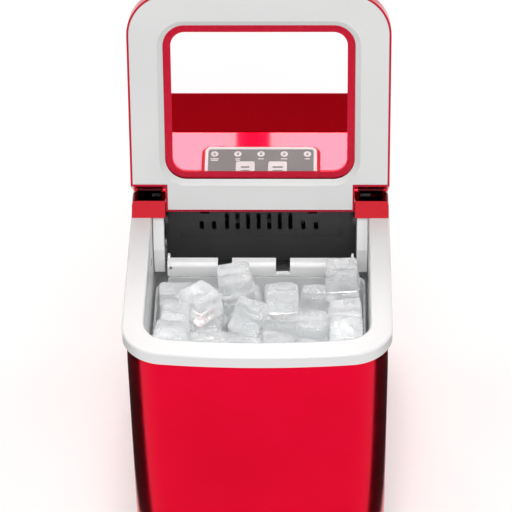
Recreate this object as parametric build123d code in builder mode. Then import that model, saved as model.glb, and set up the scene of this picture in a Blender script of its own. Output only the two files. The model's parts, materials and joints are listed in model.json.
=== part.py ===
"""Countertop ice maker with a hinged lid: every piece as its own solid, in millimetres.

The origin is on the surface the machine stands on, under the middle of its closed footprint.
X runs to the right, Y to the back and Z up. The lid stands open.
"""

from build123d import *
import os
from math import cos, radians, sin, sqrt

os.makedirs("parts", exist_ok=True)

# ---------------------------------------------------------------- driving dimensions
WIDTH = 242.0
DEPTH = 358.0
FRONT_Y = -DEPTH / 2
BACK_Y = DEPTH / 2
GAP = 0.2

# white bezel round the bin
RIM_TOP = 301.0
RIM_HEIGHT = 12.0
RIM_BOTTOM = RIM_TOP - RIM_HEIGHT
RIM_HALF = WIDTH / 2
RIM_BOW = 860.0
RIM_CORNER = 40.0
RIM_BACK_Y = 39.7
MOUTH_HALF = 101.3
MOUTH_FRONT_Y = -158.6
MOUTH_BOW = 760.0
MOUTH_CORNER = 24.0

# red body under the bezel
BODY_INSET = 3.7
BODY_HALF = RIM_HALF - BODY_INSET
BODY_BACK_Y = 176.3
PANEL = 2.5
PANEL_BOTTOM = 14.0
PANEL_TOP = 294.0
FOOT_HEIGHT = 8.0
PAN_TOP = 22.0

# rear deck: a gentle slope up from the lid hinge, then almost level
DECK_HALF = 120.0
DECK_Y = 40.0
DECK_Z = 315.0
DECK_SLOPE = 8.0
DECK_RUN = 75.3
DECK_TOP = 328.0
DECK_EDGE = 4.0
DECK_ROUND = 5.0
DECK_CORNER = 24.0
SKIN = 2.5
BLOCK_INNER = 88.7

# lid and its hinge
HINGE_Y = 31.0
HINGE_Z = 309.0
LID_OPEN = 106.0
LID_HALF = 120.7
LID_FRONT_Y = -178.7
LID_BOTTOM = RIM_TOP + 0.5
LID_NOTCH_Y = 13.5
LID_WALL = 1.8
TONGUE_HALF = 88.3
TONGUE_BACK_Y = 39.0
TONGUE_ROUND = 8.6
CROWN_Y = -65.0
CROWN_Z = 322.0
CROWN_RADIUS = 749.0
PIN_RADIUS = 3.0
RUNNING = 0.06

# lid window, measured at the shell's opening
WINDOW_HALF = 81.0
WINDOW_REAR_Y = 0.5
WINDOW_FRONT_Y = -136.0
WINDOW_CORNER = 13.0
PANE_Z = 306.0

# control panel on the deck, t runs up the slope from the deck's front edge
PLINTH = 2.0
FACE_HALF = 50.0
FACE_T = (10.0, 50.2)
BEZEL_EDGE = 2.7
LED_PITCH = 22.0
LED_T = 44.1
LED_RADIUS = 3.5
BUTTON_X = (-14.7, 15.9)
BUTTON_T = 25.6
BUTTON_SIZE = (18.6, 16.0)

# bin liner and basket
LINER_HALF = 101.6
LINER_WALL = 2.5
LINER_FLOOR = 100.0
LINER_MID_Y = 34.0
LINER_BACK_Y = 88.0
SHELF_Z = 185.0
BASKET_HALF = 98.4
BASKET_FRONT_Y = -154.0
BASKET_BACK_Y = -7.0
BASKET_BOTTOM = 150.0
BASKET_TOP = 238.5
BASKET_REAR_TOP = 248.0
BASKET_WALL = 2.0

# shovel, arms and the cover behind them
PIVOT_Y = 24.0
PIVOT_Z = 292.0
LUG_INNER = 86.8
LUG_OUTER = 89.8
ARM_INNER = 90.6
ARM_OUTER = 100.8
SHOVEL_HALF = 87.8
SHOVEL_Y = 1.0
SHOVEL_BOTTOM = 241.5
SHOVEL_TOP = 256.4
SHOVEL_SLOTS = (-33.5, 21.2)
SHOVEL_SLOT_WIDTH = 13.4
COVER_Y = 35.0
COVER_THICK = 3.5
COVER_HALF = 89.8

# water tray under the evaporator fingers
TRAY_Y = 62.5
TRAY_Z = 232.0
TRAY_RADIUS = 22.0
TRAY_HALF = 67.0
FINGER_PITCH = 15.0
FINGER_COUNT = 9

# refrigeration bay
COMPRESSOR = (-48.0, 122.0)
COMPRESSOR_RADIUS = 44.0
FAN_X = 58.0
FAN_Z = 105.0
FAN_RADIUS = 40.0
COIL_Y = 161.0
COIL_PITCH = 22.0
COIL_TUBES = 6
COIL_Z = 51.0
TUBE_RADIUS = 3.0


# ---------------------------------------------------------------- helpers
def save(piece, node):
    """Labels a finished piece and writes it as one STEP file."""
    piece.label = node
    export_step(piece, f"parts/{node}.step")


def bowed_plan(half, front_y, bow, back_y, corner):
    """Plan outline with straight sides, a bowed front edge and rounded front corners."""
    side_y = front_y + bow - sqrt(bow**2 - half**2)
    with BuildSketch() as plan:
        with BuildLine():
            ThreePointArc((-half, side_y), (0, front_y), (half, side_y))
            Polyline((half, side_y), (half, back_y), (-half, back_y), (-half, side_y))
        make_face()
        fillet(plan.vertices().group_by(Axis.Y)[0], corner)
    return plan.sketch


def rim_plan(inset, back_y):
    """The bezel's outer outline, moved inwards."""
    return bowed_plan(RIM_HALF - inset, FRONT_Y + inset, RIM_BOW - inset, back_y, RIM_CORNER - inset)


def mouth_plan(outset, back_y):
    """The bezel's inner outline, moved outwards."""
    return bowed_plan(
        MOUTH_HALF + outset, MOUTH_FRONT_Y - outset, MOUTH_BOW + outset, back_y, MOUTH_CORNER + outset
    )


def window_plan(outset):
    """The lid window's opening, moved outwards."""
    width = 2 * (WINDOW_HALF + outset)
    depth = WINDOW_REAR_Y - WINDOW_FRONT_Y + 2 * outset
    with BuildSketch() as plan:
        with Locations((0, (WINDOW_REAR_Y + WINDOW_FRONT_Y) / 2)):
            RectangleRounded(width, depth, WINDOW_CORNER + outset)
    return plan.sketch


def crown_z(y, inset=0.0):
    """Height of the lid's crowned top surface, or of a surface inset below it."""
    return CROWN_Z - CROWN_RADIUS + sqrt((CROWN_RADIUS - inset) ** 2 - (y - CROWN_Y) ** 2)


def crown_profile(inset, bottom):
    """Side profile of everything under the lid's crown."""
    front = FRONT_Y - 6
    back = DECK_Y + 6
    with BuildSketch() as profile:
        with BuildLine():
            ThreePointArc(
                (front, crown_z(front, inset)), (CROWN_Y, CROWN_Z - inset), (back, crown_z(back, inset))
            )
            Polyline(
                (back, crown_z(back, inset)), (back, bottom), (front, bottom), (front, crown_z(front, inset))
            )
        make_face()
    return profile.sketch


def lid_form(inset, bottom):
    """The closed lid as one solid, inset on every side except its underside."""
    slant = 8.0 / 13.5
    rear = LID_NOTCH_Y - inset
    high = CROWN_Z + 4
    arc_radius = TONGUE_ROUND - inset
    tongue_back = TONGUE_BACK_Y - inset
    arc_low = HINGE_Z + sqrt(arc_radius**2 - (tongue_back - HINGE_Y) ** 2)
    arc_high = DECK_Z - inset
    arc_y = HINGE_Y + sqrt(arc_radius**2 - (arc_high - HINGE_Z) ** 2)
    arc_mid = (HINGE_Y + arc_radius * cos(radians(35)), HINGE_Z + arc_radius * sin(radians(35)))
    with BuildPart() as form:
        with BuildSketch(Plane.XY.offset(bottom)):
            add(
                bowed_plan(
                    LID_HALF - inset, LID_FRONT_Y + inset, RIM_BOW - inset, DECK_Y - 8, RIM_CORNER - inset
                )
            )
        extrude(amount=high - bottom)
        with BuildSketch(Plane.YZ):
            with BuildLine():
                Polyline(
                    (rear + slant * (bottom - LID_BOTTOM), bottom),
                    (rear + slant * (high - LID_BOTTOM), high),
                    (DECK_Y, high),
                    (DECK_Y, bottom),
                    close=True,
                )
            make_face()
        extrude(amount=RIM_HALF, both=True, mode=Mode.SUBTRACT)
        with BuildSketch(Plane.YZ):
            with BuildLine():
                Polyline((-30, bottom), (tongue_back, bottom), (tongue_back, arc_low))
                ThreePointArc((tongue_back, arc_low), arc_mid, (arc_y, arc_high))
                Polyline((arc_y, arc_high), (arc_y - 12, high), (-30, high), (-30, bottom))
            make_face()
        extrude(amount=TONGUE_HALF - inset, both=True)
        with BuildSketch(Plane.YZ):
            add(crown_profile(inset, bottom))
        extrude(amount=RIM_HALF, both=True, mode=Mode.INTERSECT)
    return form.part


def opened(piece):
    """Swings a closed lid piece back to the open pose."""
    return piece.rotate(Axis((0, HINGE_Y, HINGE_Z), (1, 0, 0)), -LID_OPEN)


def tube(points, bend, radius):
    """A bent tube as a solid rod along straight runs and tangent arcs."""
    with BuildPart() as rod:
        with BuildLine() as path:
            FilletPolyline(*points, radius=bend)
        with BuildSketch(Plane(origin=path.line @ 0, z_dir=path.line % 0)):
            Circle(radius)
        sweep()
    return rod.part


deck_normal = (0, -sin(radians(DECK_SLOPE)), cos(radians(DECK_SLOPE)))
crease_y = DECK_Y + DECK_RUN * cos(radians(DECK_SLOPE))
crease_z = DECK_Z + DECK_RUN * sin(radians(DECK_SLOPE))


def deck_plane(height):
    """Workplane parallel to the sloping deck, with its local Y running up the slope."""
    origin = (0, DECK_Y + height * deck_normal[1], DECK_Z + height * deck_normal[2])
    return Plane(origin=origin, x_dir=(1, 0, 0), z_dir=deck_normal)


# ---------------------------------------------------------------- feet and base
FOOT_X = 92.0
FOOT_Y = 145.0
with BuildPart() as rubber_feet:
    with Locations(*[(x, y, 0) for x in (-FOOT_X, FOOT_X) for y in (-FOOT_Y, FOOT_Y)]):
        Cone(8.5, 10.0, FOOT_HEIGHT, align=(Align.CENTER, Align.CENTER, Align.MIN))
save(rubber_feet.part, "rubber_feet")

REAR_CORNER = 22.0
PAN_INSET = BODY_INSET + PANEL + 0.3
PAN_BACK_Y = BODY_BACK_Y - PANEL - 0.3
with BuildPart() as base_pan:
    with BuildSketch(Plane.XY.offset(FOOT_HEIGHT)):
        add(rim_plan(PAN_INSET, PAN_BACK_Y))
    extrude(amount=PAN_TOP - FOOT_HEIGHT)
    fillet(base_pan.edges().filter_by(Axis.Z).group_by(Axis.Y)[-1], REAR_CORNER - PANEL)
    with BuildSketch(Plane.XY.offset(FOOT_HEIGHT + SKIN)) as pan_inside:
        add(rim_plan(PAN_INSET + SKIN, PAN_BACK_Y - SKIN))
        fillet(pan_inside.vertices().group_by(Axis.Y)[-1], REAR_CORNER - 2 * PANEL)
    extrude(amount=PAN_TOP, mode=Mode.SUBTRACT)
save(base_pan.part, "base_pan")

# ---------------------------------------------------------------- body panels
SEAM_Y = -118.0
with BuildPart() as front_panel:
    with BuildSketch(Plane.XY.offset(PANEL_BOTTOM)):
        add(rim_plan(BODY_INSET, SEAM_Y))
        add(rim_plan(BODY_INSET + PANEL, SEAM_Y + 10), mode=Mode.SUBTRACT)
    extrude(amount=PANEL_TOP - PANEL_BOTTOM)
save(front_panel.part, "front_panel")

SIDE_FRONT_Y = SEAM_Y + 0.4
REAR_HALF = 92.0
VENT_Y = (78.0, 136.0)
VENT_SLOTS = 12
VENT_PITCH = 10.0
VENT_Z = 118.0
VENT_SIZE = (44.0, 4.0)
DRAIN_Y = -90.0
DRAIN_Z = 60.0


def side_panel(side):
    """One side wall, which wraps round the rear corner and carries the vent slots."""
    with BuildPart() as panel:
        with BuildSketch(Plane.XY.offset(PANEL_BOTTOM)):
            with BuildLine():
                FilletPolyline(
                    (side * (BODY_HALF - PANEL / 2), SIDE_FRONT_Y + PANEL / 2),
                    (side * (BODY_HALF - PANEL / 2), BODY_BACK_Y - PANEL / 2),
                    (side * (REAR_HALF + GAP + PANEL / 2), BODY_BACK_Y - PANEL / 2),
                    radius=REAR_CORNER - PANEL / 2,
                )
                offset(amount=PANEL / 2)
            make_face()
        extrude(amount=PANEL_TOP - PANEL_BOTTOM)
        with BuildSketch(Plane.YZ):
            for y in VENT_Y:
                with Locations((y, VENT_Z)):
                    with GridLocations(0, VENT_PITCH, 1, VENT_SLOTS):
                        SlotOverall(*VENT_SIZE)
        extrude(amount=side * RIM_HALF, mode=Mode.SUBTRACT)
        if side < 0:
            with BuildSketch(Plane.YZ):
                with Locations((DRAIN_Y, DRAIN_Z)):
                    Circle(7.0)
            extrude(amount=-RIM_HALF, mode=Mode.SUBTRACT)
    return panel.part


save(side_panel(-1), "left_side_panel")
save(side_panel(1), "right_side_panel")

INLET_X = -70.0
INLET_Z = 44.0
INLET_SIZE = (28.0, 21.0)
SCREW_X = 88.0
SCREW_Z = (26.0, 185.0, 278.0)
with BuildPart() as rear_panel:
    with BuildSketch(Plane.XZ.offset(-BODY_BACK_Y)):
        with Locations((0, (PANEL_BOTTOM + PANEL_TOP) / 2)):
            Rectangle(2 * REAR_HALF, PANEL_TOP - PANEL_BOTTOM)
        for x in (32.0, 69.0):
            with Locations((x, 112.0)):
                with GridLocations(0, VENT_PITCH, 1, VENT_SLOTS):
                    SlotOverall(33.0, 4.5, mode=Mode.SUBTRACT)
        with Locations((INLET_X, INLET_Z)):
            Rectangle(*INLET_SIZE, mode=Mode.SUBTRACT)
        with Locations(*[(x, z) for x in (-SCREW_X, SCREW_X) for z in SCREW_Z]):
            Circle(1.7, mode=Mode.SUBTRACT)
    extrude(amount=PANEL)
save(rear_panel.part, "rear_panel")

with BuildPart() as rear_screws:
    with Locations(*[Plane.XZ.offset(-BODY_BACK_Y).location]):
        with Locations(*[(x, z, 0) for x in (-SCREW_X, SCREW_X) for z in SCREW_Z]):
            Cylinder(1.6, 4.5, align=(Align.CENTER, Align.CENTER, Align.MIN))
            Cylinder(3.4, 1.6, align=(Align.CENTER, Align.CENTER, Align.MAX))
    fillet(rear_screws.faces().sort_by(Axis.Y)[-6:].edges(), 0.8)
save(rear_screws.part, "rear_screws")

SOCKET_DEPTH = 8.0
with BuildPart() as power_inlet:
    with BuildSketch(Plane.XZ.offset(-BODY_BACK_Y - 2)):
        with Locations((INLET_X, INLET_Z)):
            RectangleRounded(INLET_SIZE[0] + 8, INLET_SIZE[1] + 6, 3)
    extrude(amount=2 - GAP)
    with BuildSketch(Plane.XZ.offset(-BODY_BACK_Y - 1)):
        with Locations((INLET_X, INLET_Z)):
            Rectangle(INLET_SIZE[0] - 0.6, INLET_SIZE[1] - 0.6)
    extrude(amount=11.5)
    with BuildSketch(Plane.XZ.offset(-BODY_BACK_Y - 2)):
        with Locations((INLET_X, INLET_Z)):
            RectangleRounded(23.5, 16.5, 2)
    extrude(amount=SOCKET_DEPTH, mode=Mode.SUBTRACT)
    with BuildSketch(Plane.XZ.offset(-BODY_BACK_Y - 2 + SOCKET_DEPTH)):
        with Locations(*[(INLET_X + dx, INLET_Z + 3.5) for dx in (-7, 0, 7)]):
            Rectangle(2, 5)
    extrude(amount=-6.5)
save(power_inlet.part, "power_inlet")

# ---------------------------------------------------------------- bezel
GROOVE_HEIGHT = 9.0
LIP = 3.0
with BuildPart() as bin_bezel:
    with BuildSketch(Plane.XY.offset(RIM_BOTTOM)):
        add(rim_plan(0, RIM_BACK_Y))
        add(mouth_plan(0, RIM_BACK_Y + 10), mode=Mode.SUBTRACT)
    extrude(amount=RIM_HEIGHT)
    rim_face = bin_bezel.faces().sort_by(Axis.Z)[-1]
    fillet(rim_face.edges().filter_by(lambda e: e.center().Y < RIM_BACK_Y - 1), 2.0)
    with BuildSketch(Plane.XY.offset(RIM_BOTTOM)):
        add(rim_plan(LIP, RIM_BACK_Y + 5))
        add(mouth_plan(LIP, RIM_BACK_Y + 10), mode=Mode.SUBTRACT)
    extrude(amount=GROOVE_HEIGHT, mode=Mode.SUBTRACT)
save(bin_bezel.part, "bin_bezel")

# ---------------------------------------------------------------- rear deck
def deck_form(inset, bottom):
    """The deck's block shape, inset on every side except its underside."""
    with BuildPart() as form:
        with BuildSketch(Plane.YZ) as profile:
            with BuildLine():
                Polyline(
                    (DECK_Y + inset, bottom),
                    (DECK_Y + inset, DECK_Z - inset),
                    (crease_y, crease_z - inset),
                    (BACK_Y - inset, DECK_TOP - inset),
                    (BACK_Y - inset, bottom),
                    close=True,
                )
            make_face()
            fillet(profile.vertices().group_by(Axis.X)[0].sort_by(Axis.Y)[-1], DECK_EDGE - inset)
        extrude(amount=DECK_HALF - inset, both=True)
        fillet(form.edges().filter_by(Axis.Z).group_by(Axis.Y)[-1], DECK_CORNER - inset)
        rounded = form.edges().filter_by(
            lambda e: e.center().Z > DECK_Z - 8
            and (abs(e.center().X) > DECK_HALF - inset - 12 or e.center().Y > BACK_Y - 12)
        )
        fillet(rounded, DECK_ROUND - inset)
    return form.part


BLOCK_FRONT = (15.0, 23.0)
BLOCK_BACK_Y = DECK_Y + 5.0
BLOCK_FALL = 3.0
BLOCK_ROUND = 4.0
POCKET_X = 103.65
POCKET_Y = 31.25
POCKET_SIZE = (21.9, 14.5)
POCKET_FLOOR = 303.0


def hinge_block(side):
    """A block in front of the deck with a slanted nose and a rounded outer top edge."""
    with BuildPart() as block:
        with BuildSketch(Plane.YZ.offset(side * BLOCK_INNER)):
            with BuildLine():
                Polyline(
                    (BLOCK_FRONT[0], RIM_TOP),
                    (BLOCK_FRONT[1], DECK_Z),
                    (DECK_Y - BLOCK_FALL, DECK_Z),
                    (BLOCK_BACK_Y, DECK_Z - BLOCK_FALL),
                    (BLOCK_BACK_Y, RIM_TOP),
                    close=True,
                )
            make_face()
        extrude(amount=side * (DECK_HALF - BLOCK_INNER))
        top_edges = block.edges().filter_by(
            lambda e: abs(e.center().X) > DECK_HALF - 0.5 and e.center().Z > DECK_Z - 2
        )
        fillet(top_edges, BLOCK_ROUND)
    return block.part


face_mid = sum(FACE_T) / 2
face_depth = FACE_T[1] - FACE_T[0]
with BuildPart() as rear_deck:
    add(deck_form(0, RIM_BOTTOM))
    add(deck_form(SKIN, RIM_BOTTOM - 5), mode=Mode.SUBTRACT)
    # notches that let the side panels run on under the deck's front wall
    for side in (-1, 1):
        with Locations((side * (BODY_HALF - PANEL / 2), DECK_Y + SKIN, RIM_BOTTOM)):
            Box(PANEL + 0.4, 2 * SKIN + 1, 2 * (PANEL_TOP - RIM_BOTTOM) + 0.6, mode=Mode.SUBTRACT)
    # hinge blocks, each with a pocket that opens back into the deck's hollow
    add(hinge_block(-1))
    add(hinge_block(1))
    with BuildSketch(Plane.XY.offset(DECK_Z)):
        with Locations((-POCKET_X, POCKET_Y), (POCKET_X, POCKET_Y)):
            RectangleRounded(*POCKET_SIZE, 1.0)
    extrude(amount=POCKET_FLOOR - DECK_Z, mode=Mode.SUBTRACT)
    pocket_top = DECK_Z - DECK_EDGE + 0.8
    with BuildSketch(Plane.XY.offset(POCKET_FLOOR)):
        with Locations((-POCKET_X, BLOCK_BACK_Y + 2), (POCKET_X, BLOCK_BACK_Y + 2)):
            Rectangle(POCKET_SIZE[0] - 2, 12.0, align=(Align.CENTER, Align.MAX))
    extrude(amount=pocket_top - POCKET_FLOOR, mode=Mode.SUBTRACT)
    with BuildSketch(Plane.YZ.offset(-100)):
        with Locations((HINGE_Y, HINGE_Z)):
            Circle(PIN_RADIUS + 0.02)
    extrude(amount=200, mode=Mode.SUBTRACT)
    # raised plinth for the control panel, and its opening
    with BuildSketch(deck_plane(-0.5)):
        with Locations((0, 30.9)):
            RectangleRounded(114.4, 52.6, 9)
    with BuildSketch(deck_plane(PLINTH)):
        with Locations((0, face_mid)):
            RectangleRounded(106.2, face_depth + 7.6, 6.5)
    loft()
    with BuildSketch(deck_plane(PLINTH + 1)):
        with Locations((0, face_mid)):
            RectangleRounded(2 * FACE_HALF + 1.2, face_depth + 1.2, 3.5)
    extrude(amount=-8, mode=Mode.SUBTRACT)
save(rear_deck.part, "rear_deck")

# ---------------------------------------------------------------- lid
BOSS_RADIUS = 5.6
BOSS_INNER = 79.0
FLANGE_Z = 308.0
FLARE = 8.0


def window_funnel(outset, bottom):
    """The window's flaring opening as a solid, moved outwards, from the flange to above the crown."""
    top = CROWN_Z + 2
    with BuildPart() as funnel:
        with BuildSketch(Plane.XY.offset(bottom)):
            add(window_plan(outset))
        with BuildSketch(Plane.XY.offset(top)):
            add(window_plan(outset + FLARE))
        loft()
    return funnel.part


with BuildPart() as window_wall:
    add(window_funnel(LID_WALL, FLANGE_Z))
    add(lid_form(0, LID_BOTTOM), mode=Mode.INTERSECT)

with BuildPart() as lid_shell:
    add(lid_form(0, LID_BOTTOM))
    add(lid_form(LID_WALL, LID_BOTTOM - 3), mode=Mode.SUBTRACT)
    with BuildSketch(Plane.XY.offset(FLANGE_Z)):
        add(window_plan(9.0))
    extrude(amount=LID_WALL)
    # flared wall round the window, from the flange out to the crown
    add(window_wall.part)
    add(window_funnel(0, FLANGE_Z), mode=Mode.SUBTRACT)
    with BuildSketch(Plane.XY.offset(LID_BOTTOM - 5)):
        add(window_plan(0))
    extrude(amount=FLANGE_Z - LID_BOTTOM + 6, mode=Mode.SUBTRACT)
    # hinge bosses at the tongue's ends
    for side in (-1, 1):
        with BuildSketch(Plane.YZ.offset(side * BOSS_INNER)):
            with Locations((HINGE_Y, HINGE_Z)):
                Circle(BOSS_RADIUS)
            with Locations((HINGE_Y, HINGE_Z - BOSS_RADIUS)):
                Rectangle(2 * BOSS_RADIUS, 1.6, mode=Mode.SUBTRACT)
        extrude(amount=side * (TONGUE_HALF - BOSS_INNER))
    with BuildSketch(Plane.YZ.offset(-RIM_HALF)):
        with Locations((HINGE_Y, HINGE_Z)):
            Circle(PIN_RADIUS + RUNNING)
    extrude(amount=WIDTH, mode=Mode.SUBTRACT)
save(opened(lid_shell.part), "lid_shell")

with BuildPart() as lid_liner:
    add(lid_form(LID_WALL + GAP, LID_BOTTOM))
    with BuildSketch(Plane.XY.offset(LID_BOTTOM)):
        Rectangle(2 * WIDTH, 2 * DEPTH)
    extrude(amount=2.2, mode=Mode.INTERSECT)
    # funnel that leads in to the window
    with BuildSketch(Plane.XY.offset(LID_BOTTOM)):
        add(window_plan(14.0))
    with BuildSketch(Plane.XY.offset(PANE_Z - 0.1)):
        add(window_plan(9.0))
    loft()
    with BuildSketch(Plane.XY.offset(LID_BOTTOM)):
        add(window_plan(12.3))
    with BuildSketch(Plane.XY.offset(PANE_Z - 0.1)):
        add(window_plan(7.2))
    loft(mode=Mode.SUBTRACT)
save(opened(lid_liner.part), "lid_liner")

with BuildPart() as lid_window:
    with BuildSketch(Plane.XY.offset(PANE_Z)):
        add(window_plan(7.0))
    extrude(amount=FLANGE_Z - PANE_Z - GAP)
    # raised middle that fits the flange's opening
    with BuildSketch(Plane.XY.offset(PANE_Z)):
        add(window_plan(-0.3))
    extrude(amount=FLANGE_Z - PANE_Z + LID_WALL)
save(opened(lid_window.part), "lid_window")

PIN_INNER = 79.6
PIN_OUTER = 92.2
with BuildPart() as lid_hinge_pins:
    for side in (-1, 1):
        with BuildSketch(Plane.YZ.offset(side * PIN_INNER)):
            with Locations((HINGE_Y, HINGE_Z)):
                Circle(PIN_RADIUS)
        extrude(amount=side * (PIN_OUTER - PIN_INNER))
save(lid_hinge_pins.part, "lid_hinge_pins")

# ---------------------------------------------------------------- control panel
LEDGE = 1.7
with BuildPart() as control_bezel:
    with BuildSketch(deck_plane(PLINTH)):
        with Locations((0, face_mid)):
            RectangleRounded(2 * (FACE_HALF + BEZEL_EDGE), face_depth + 2 * BEZEL_EDGE + 0.6, 5.5)
    extrude(amount=1.0)
    with BuildSketch(deck_plane(PLINTH)):
        with Locations((0, face_mid)):
            RectangleRounded(2 * FACE_HALF + 0.8, face_depth + 0.8, 3.3)
    extrude(amount=-6.0)
    with BuildSketch(deck_plane(PLINTH + 1)):
        with Locations((0, face_mid)):
            RectangleRounded(2 * FACE_HALF, face_depth, 2.9)
    extrude(amount=-2.0, mode=Mode.SUBTRACT)
    with BuildSketch(deck_plane(PLINTH)):
        with Locations((0, face_mid)):
            RectangleRounded(2 * (FACE_HALF - LEDGE), face_depth - 2 * LEDGE, 2.0)
    extrude(amount=-10.0, mode=Mode.SUBTRACT)
    # posts that carry the circuit board
    with BuildSketch(deck_plane(-9.0)):
        with Locations((0, face_mid)):
            with GridLocations(2 * FACE_HALF - 5.0, face_depth - 5.0, 2, 2):
                Circle(2.6)
    extrude(amount=5.5)
save(control_bezel.part, "control_bezel")

led_spots = [(LED_PITCH * i, LED_T) for i in range(-2, 3)]
with BuildPart() as control_face:
    with BuildSketch(deck_plane(PLINTH - 0.9)):
        with Locations((0, face_mid)):
            RectangleRounded(2 * FACE_HALF - 0.3, face_depth - 0.3, 2.7)
        with Locations(*led_spots):
            Circle(LED_RADIUS + 0.05, mode=Mode.SUBTRACT)
        with Locations(*[(x, BUTTON_T) for x in BUTTON_X]):
            RectangleRounded(BUTTON_SIZE[0] + 0.7, BUTTON_SIZE[1] + 0.7, 2.8, mode=Mode.SUBTRACT)
    extrude(amount=1.5)
save(control_face.part, "control_face")

with BuildPart() as indicator_lenses:
    with BuildSketch(deck_plane(PLINTH - 1.4)):
        with Locations(*led_spots):
            Circle(LED_RADIUS)
    extrude(amount=2.4)
    with BuildSketch(deck_plane(PLINTH + 1)):
        with Locations(*led_spots):
            Circle(LED_RADIUS - 1.3)
    extrude(amount=-0.5, mode=Mode.SUBTRACT)
save(indicator_lenses.part, "indicator_lenses")


def button(x):
    """A rounded push button with a retaining flange and a stem down to its switch."""
    with BuildPart() as key:
        with BuildSketch(deck_plane(PLINTH - 1.5)):
            with Locations((x, BUTTON_T)):
                RectangleRounded(*BUTTON_SIZE, 2.5)
        extrude(amount=3.7)
        fillet(key.faces().sort_by(Axis(origin=(0, 0, 0), direction=deck_normal))[-1].edges(), 0.9)
        with BuildSketch(deck_plane(PLINTH - 2.5)):
            with Locations((x, BUTTON_T)):
                RectangleRounded(BUTTON_SIZE[0] + 2.2, BUTTON_SIZE[1] + 2.2, 3)
        extrude(amount=1.2)
        with BuildSketch(deck_plane(-3.2)):
            with Locations((x, BUTTON_T)):
                Circle(2.2)
        extrude(amount=3.0)
    return key.part


save(button(BUTTON_X[0]), "on_off_button")
save(button(BUTTON_X[1]), "select_button")

BOARD_N = -10.7
with BuildPart() as control_board:
    with BuildSketch(deck_plane(BOARD_N)):
        with Locations((0, face_mid)):
            RectangleRounded(2 * FACE_HALF, face_depth, 1.5)
    extrude(amount=1.6)
    with BuildSketch(deck_plane(BOARD_N + 1.6)):
        with Locations(*[(x, BUTTON_T) for x in BUTTON_X]):
            Rectangle(6, 6)
    extrude(amount=3.5)
    with BuildSketch(deck_plane(BOARD_N + 1.6)):
        with Locations(*[(x, BUTTON_T) for x in BUTTON_X]):
            Circle(1.7)
    extrude(amount=4.6)
    with BuildSketch(deck_plane(BOARD_N + 1.6)):
        with Locations(*led_spots):
            Circle(2.4)
    extrude(amount=9.0)
    with BuildSketch(deck_plane(BOARD_N)):
        with Locations((-30, 20), (32, 22)):
            Rectangle(14, 9)
    extrude(amount=-2.5)
save(control_board.part, "control_board")

# ---------------------------------------------------------------- bin liner and foam
INLET_HOLE = (60.0, 5.0)
SUPPLY_X = 78.0
SUPPLY_Y = 70.0
SUPPLY_TOP = 262.0
EVAP_STUB_X = 62.0
EVAP_Z = 271.0


def liner_form(outset, top):
    """The tub's inside space, moved outwards by the wall: a deep bin and a shallow rear shelf."""
    with BuildPart() as form:
        with BuildSketch(Plane.XY.offset(LINER_FLOOR - outset)):
            add(mouth_plan(LINER_HALF - MOUTH_HALF + outset, LINER_BACK_Y + outset))
        extrude(amount=top - LINER_FLOOR + outset)
        with BuildSketch(Plane.YZ):
            with BuildLine():
                Polyline(
                    (LINER_MID_Y + outset, LINER_FLOOR - outset - 1),
                    (LINER_MID_Y + outset, SHELF_Z - outset),
                    (LINER_BACK_Y + outset + 1, SHELF_Z + 7 - outset),
                    (LINER_BACK_Y + outset + 1, LINER_FLOOR - outset - 1),
                    close=True,
                )
            make_face()
        extrude(amount=RIM_HALF, both=True, mode=Mode.SUBTRACT)
    return form.part


DRAIN_SPIGOT = (-80.0, DRAIN_Y)
with BuildPart() as bin_liner:
    add(liner_form(LINER_WALL, RIM_BOTTOM))
    add(liner_form(0, RIM_BOTTOM + 5), mode=Mode.SUBTRACT)
    # ledges that carry the basket
    with Locations((-LINER_HALF + 4, -80, BASKET_BOTTOM - 5.2), (LINER_HALF - 4, -80, BASKET_BOTTOM - 5.2)):
        Box(10, 90, 10)
    with BuildSketch(Plane.XY.offset(LINER_FLOOR - 12)):
        with Locations(DRAIN_SPIGOT):
            Circle(6.0)
    extrude(amount=10)
    with BuildSketch(Plane.XY.offset(LINER_FLOOR - 20)):
        with Locations(DRAIN_SPIGOT):
            Circle(4.0)
        with Locations(INLET_HOLE):
            Circle(4.1)
    extrude(amount=25, mode=Mode.SUBTRACT)
    with BuildSketch(Plane.XY.offset(SHELF_Z - 10)):
        with Locations((SUPPLY_X, SUPPLY_Y)):
            Circle(4.3)
    extrude(amount=30, mode=Mode.SUBTRACT)
    with BuildSketch(Plane.XZ.offset(-LINER_BACK_Y + 5)):
        with Locations((-EVAP_STUB_X, EVAP_Z), (EVAP_STUB_X, EVAP_Z)):
            Circle(4.0)
    extrude(amount=-12, mode=Mode.SUBTRACT)
    with BuildSketch(Plane.YZ.offset(-RIM_HALF)):
        with Locations((-10, 268)):
            Circle(4.05)
    extrude(amount=WIDTH, mode=Mode.SUBTRACT)
save(bin_liner.part, "bin_liner")

FOAM_OUTSET = 2.8 + LINER_HALF - MOUTH_HALF
with BuildPart() as foam_insulation:
    with BuildSketch(Plane.XY.offset(LINER_FLOOR - 12)):
        add(rim_plan(BODY_INSET + PANEL + 0.8, LINER_MID_Y - 1))
    extrude(amount=RIM_BOTTOM - LINER_FLOOR + 12 - 1)
    with BuildSketch(Plane.XY.offset(LINER_FLOOR - LINER_WALL - 0.2)):
        add(mouth_plan(FOAM_OUTSET, LINER_MID_Y + 5))
    extrude(amount=RIM_TOP, mode=Mode.SUBTRACT)
    with BuildSketch(Plane.XY.offset(LINER_FLOOR - 20)):
        with Locations(DRAIN_SPIGOT, INLET_HOLE):
            Circle(6.5)
    extrude(amount=30, mode=Mode.SUBTRACT)
    with BuildSketch(Plane.YZ.offset(-RIM_HALF)):
        with Locations((-10, 268)):
            Circle(6)
    extrude(amount=WIDTH, mode=Mode.SUBTRACT)
save(foam_insulation.part, "foam_insulation")

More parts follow.
